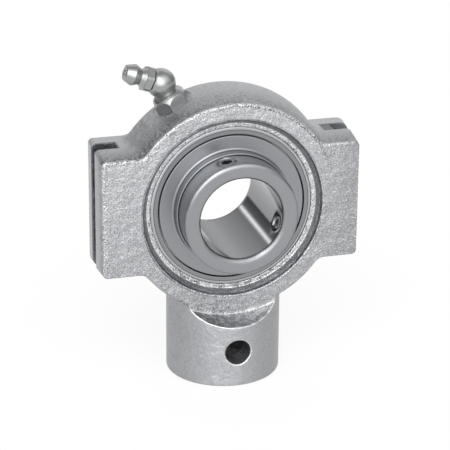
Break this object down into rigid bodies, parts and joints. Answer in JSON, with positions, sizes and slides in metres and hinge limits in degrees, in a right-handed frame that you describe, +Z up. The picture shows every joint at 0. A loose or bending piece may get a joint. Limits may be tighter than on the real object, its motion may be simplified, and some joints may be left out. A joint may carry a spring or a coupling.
{
  "type": "take up bearing unit",
  "caption": "Cast take-up housing with two side guide grooves and a rod boss, holding a self-aligning ball bearing insert with set screws and an angled grease fitting.",
  "frame": {"origin": "centre of the bearing, on the shaft axis, midway across the outer ring", "axes": "-Y along the shaft towards the set screws, which is the front; +Z up, with the rod boss below"},
  "size_m": [0.0811, 0.037, 0.0972],
  "materials": {
    "housing_casting": "as cast and nickel plated, rough on the faces",
    "ring_steel": "hardened and ground",
    "flinger_steel": "pressed sheet, satin",
    "seal_steel": "pressed sheet, satin",
    "seal_rubber": "moulded, matte",
    "cage_steel": "pressed sheet, satin",
    "ball_steel": "polished",
    "screw_steel": "hardened, satin",
    "fitting_steel": "zinc plated, bright",
    "spring_steel": "drawn wire"
  },
  "bodies": {
    "housing": {"housing": "housing_casting", "fitting_elbow": "fitting_steel", "fitting_nipple": "fitting_steel", "check_spring": "spring_steel"},
    "outer_ring": {"outer_ring": "ring_steel", "front_seal_shell": "seal_steel", "front_seal_lip": "seal_rubber", "rear_seal_shell": "seal_steel", "rear_seal_lip": "seal_rubber"},
    "inner_ring": {"inner_ring": "ring_steel", "front_flinger": "flinger_steel", "rear_flinger": "flinger_steel"},
    "cage": {"cage_front": "cage_steel", "cage_rear": "cage_steel", "cage_rivets": "cage_steel"},
    "set_screw_1": {"set_screw_1": "screw_steel"},
    "set_screw_2": {"set_screw_2": "screw_steel"},
    "check_ball": {"check_ball": "ball_steel"},
    "ball_1": {"ball_1": "ball_steel"},
    "ball_2": {"ball_2": "ball_steel"},
    "ball_3": {"ball_3": "ball_steel"},
    "ball_4": {"ball_4": "ball_steel"},
    "ball_5": {"ball_5": "ball_steel"},
    "ball_6": {"ball_6": "ball_steel"},
    "ball_7": {"ball_7": "ball_steel"},
    "ball_8": {"ball_8": "ball_steel"},
    "ball_9": {"ball_9": "ball_steel"}
  },
  "joints": [
    {"name": "insert_align", "type": "hinge", "parent": "housing", "child": "outer_ring", "pos_m": [0, 0, 0], "axis": [1, 0, 0], "range_deg": [-2, 2]},
    {"name": "inner_ring_spin", "type": "hinge", "parent": "outer_ring", "child": "inner_ring", "pos_m": [0, 0, 0], "axis": [0, -1, 0], "continuous": true},
    {"name": "cage_orbit", "type": "hinge", "parent": "outer_ring", "child": "cage", "pos_m": [0, 0, 0], "axis": [0, -1, 0], "continuous": true},
    {"name": "ball_1_spin", "type": "hinge", "parent": "cage", "child": "ball_1", "pos_m": [0, 0, 0.0195], "axis": [0, -1, 0], "continuous": true},
    {"name": "ball_2_spin", "type": "hinge", "parent": "cage", "child": "ball_2", "pos_m": [-0.01253, 0, 0.01494], "axis": [0, -1, 0], "continuous": true},
    {"name": "ball_3_spin", "type": "hinge", "parent": "cage", "child": "ball_3", "pos_m": [-0.0192, 0, 0.00339], "axis": [0, -1, 0], "continuous": true},
    {"name": "ball_4_spin", "type": "hinge", "parent": "cage", "child": "ball_4", "pos_m": [-0.01689, 0, -0.00975], "axis": [0, -1, 0], "continuous": true},
    {"name": "ball_5_spin", "type": "hinge", "parent": "cage", "child": "ball_5", "pos_m": [-0.00667, 0, -0.01832], "axis": [0, -1, 0], "continuous": true},
    {"name": "ball_6_spin", "type": "hinge", "parent": "cage", "child": "ball_6", "pos_m": [0.00667, 0, -0.01832], "axis": [0, -1, 0], "continuous": true},
    {"name": "ball_7_spin", "type": "hinge", "parent": "cage", "child": "ball_7", "pos_m": [0.01689, 0, -0.00975], "axis": [0, -1, 0], "continuous": true},
    {"name": "ball_8_spin", "type": "hinge", "parent": "cage", "child": "ball_8", "pos_m": [0.0192, 0, 0.00339], "axis": [0, -1, 0], "continuous": true},
    {"name": "ball_9_spin", "type": "hinge", "parent": "cage", "child": "ball_9", "pos_m": [0.01253, 0, 0.01494], "axis": [0, -1, 0], "continuous": true},
    {"name": "set_screw_1_travel", "type": "slide", "parent": "inner_ring", "child": "set_screw_1", "axis": [-0.2079, 0, 0.9781], "range_m": [-0.00025, 0.003]},
    {"name": "set_screw_2_travel", "type": "slide", "parent": "inner_ring", "child": "set_screw_2", "axis": [0.9511, 0, -0.309], "range_m": [-0.00025, 0.003]},
    {"name": "check_ball_lift", "type": "slide", "parent": "housing", "child": "check_ball", "axis": [0.9336, 0, -0.3584], "range_m": [0, 0.0008], "stiffness_N_per_m": 20, "springref_m": -0.003, "deforming": ["check_spring"]}
  ],
  "couplings": [
    {"joint": "cage_orbit", "follows": "inner_ring_spin", "ratio": 0.39823},
    {"joint": "ball_1_spin", "follows": "inner_ring_spin", "ratio": -2.3548},
    {"joint": "ball_2_spin", "follows": "inner_ring_spin", "ratio": -2.3548},
    {"joint": "ball_3_spin", "follows": "inner_ring_spin", "ratio": -2.3548},
    {"joint": "ball_4_spin", "follows": "inner_ring_spin", "ratio": -2.3548},
    {"joint": "ball_5_spin", "follows": "inner_ring_spin", "ratio": -2.3548},
    {"joint": "ball_6_spin", "follows": "inner_ring_spin", "ratio": -2.3548},
    {"joint": "ball_7_spin", "follows": "inner_ring_spin", "ratio": -2.3548},
    {"joint": "ball_8_spin", "follows": "inner_ring_spin", "ratio": -2.3548},
    {"joint": "ball_9_spin", "follows": "inner_ring_spin", "ratio": -2.3548}
  ]
}
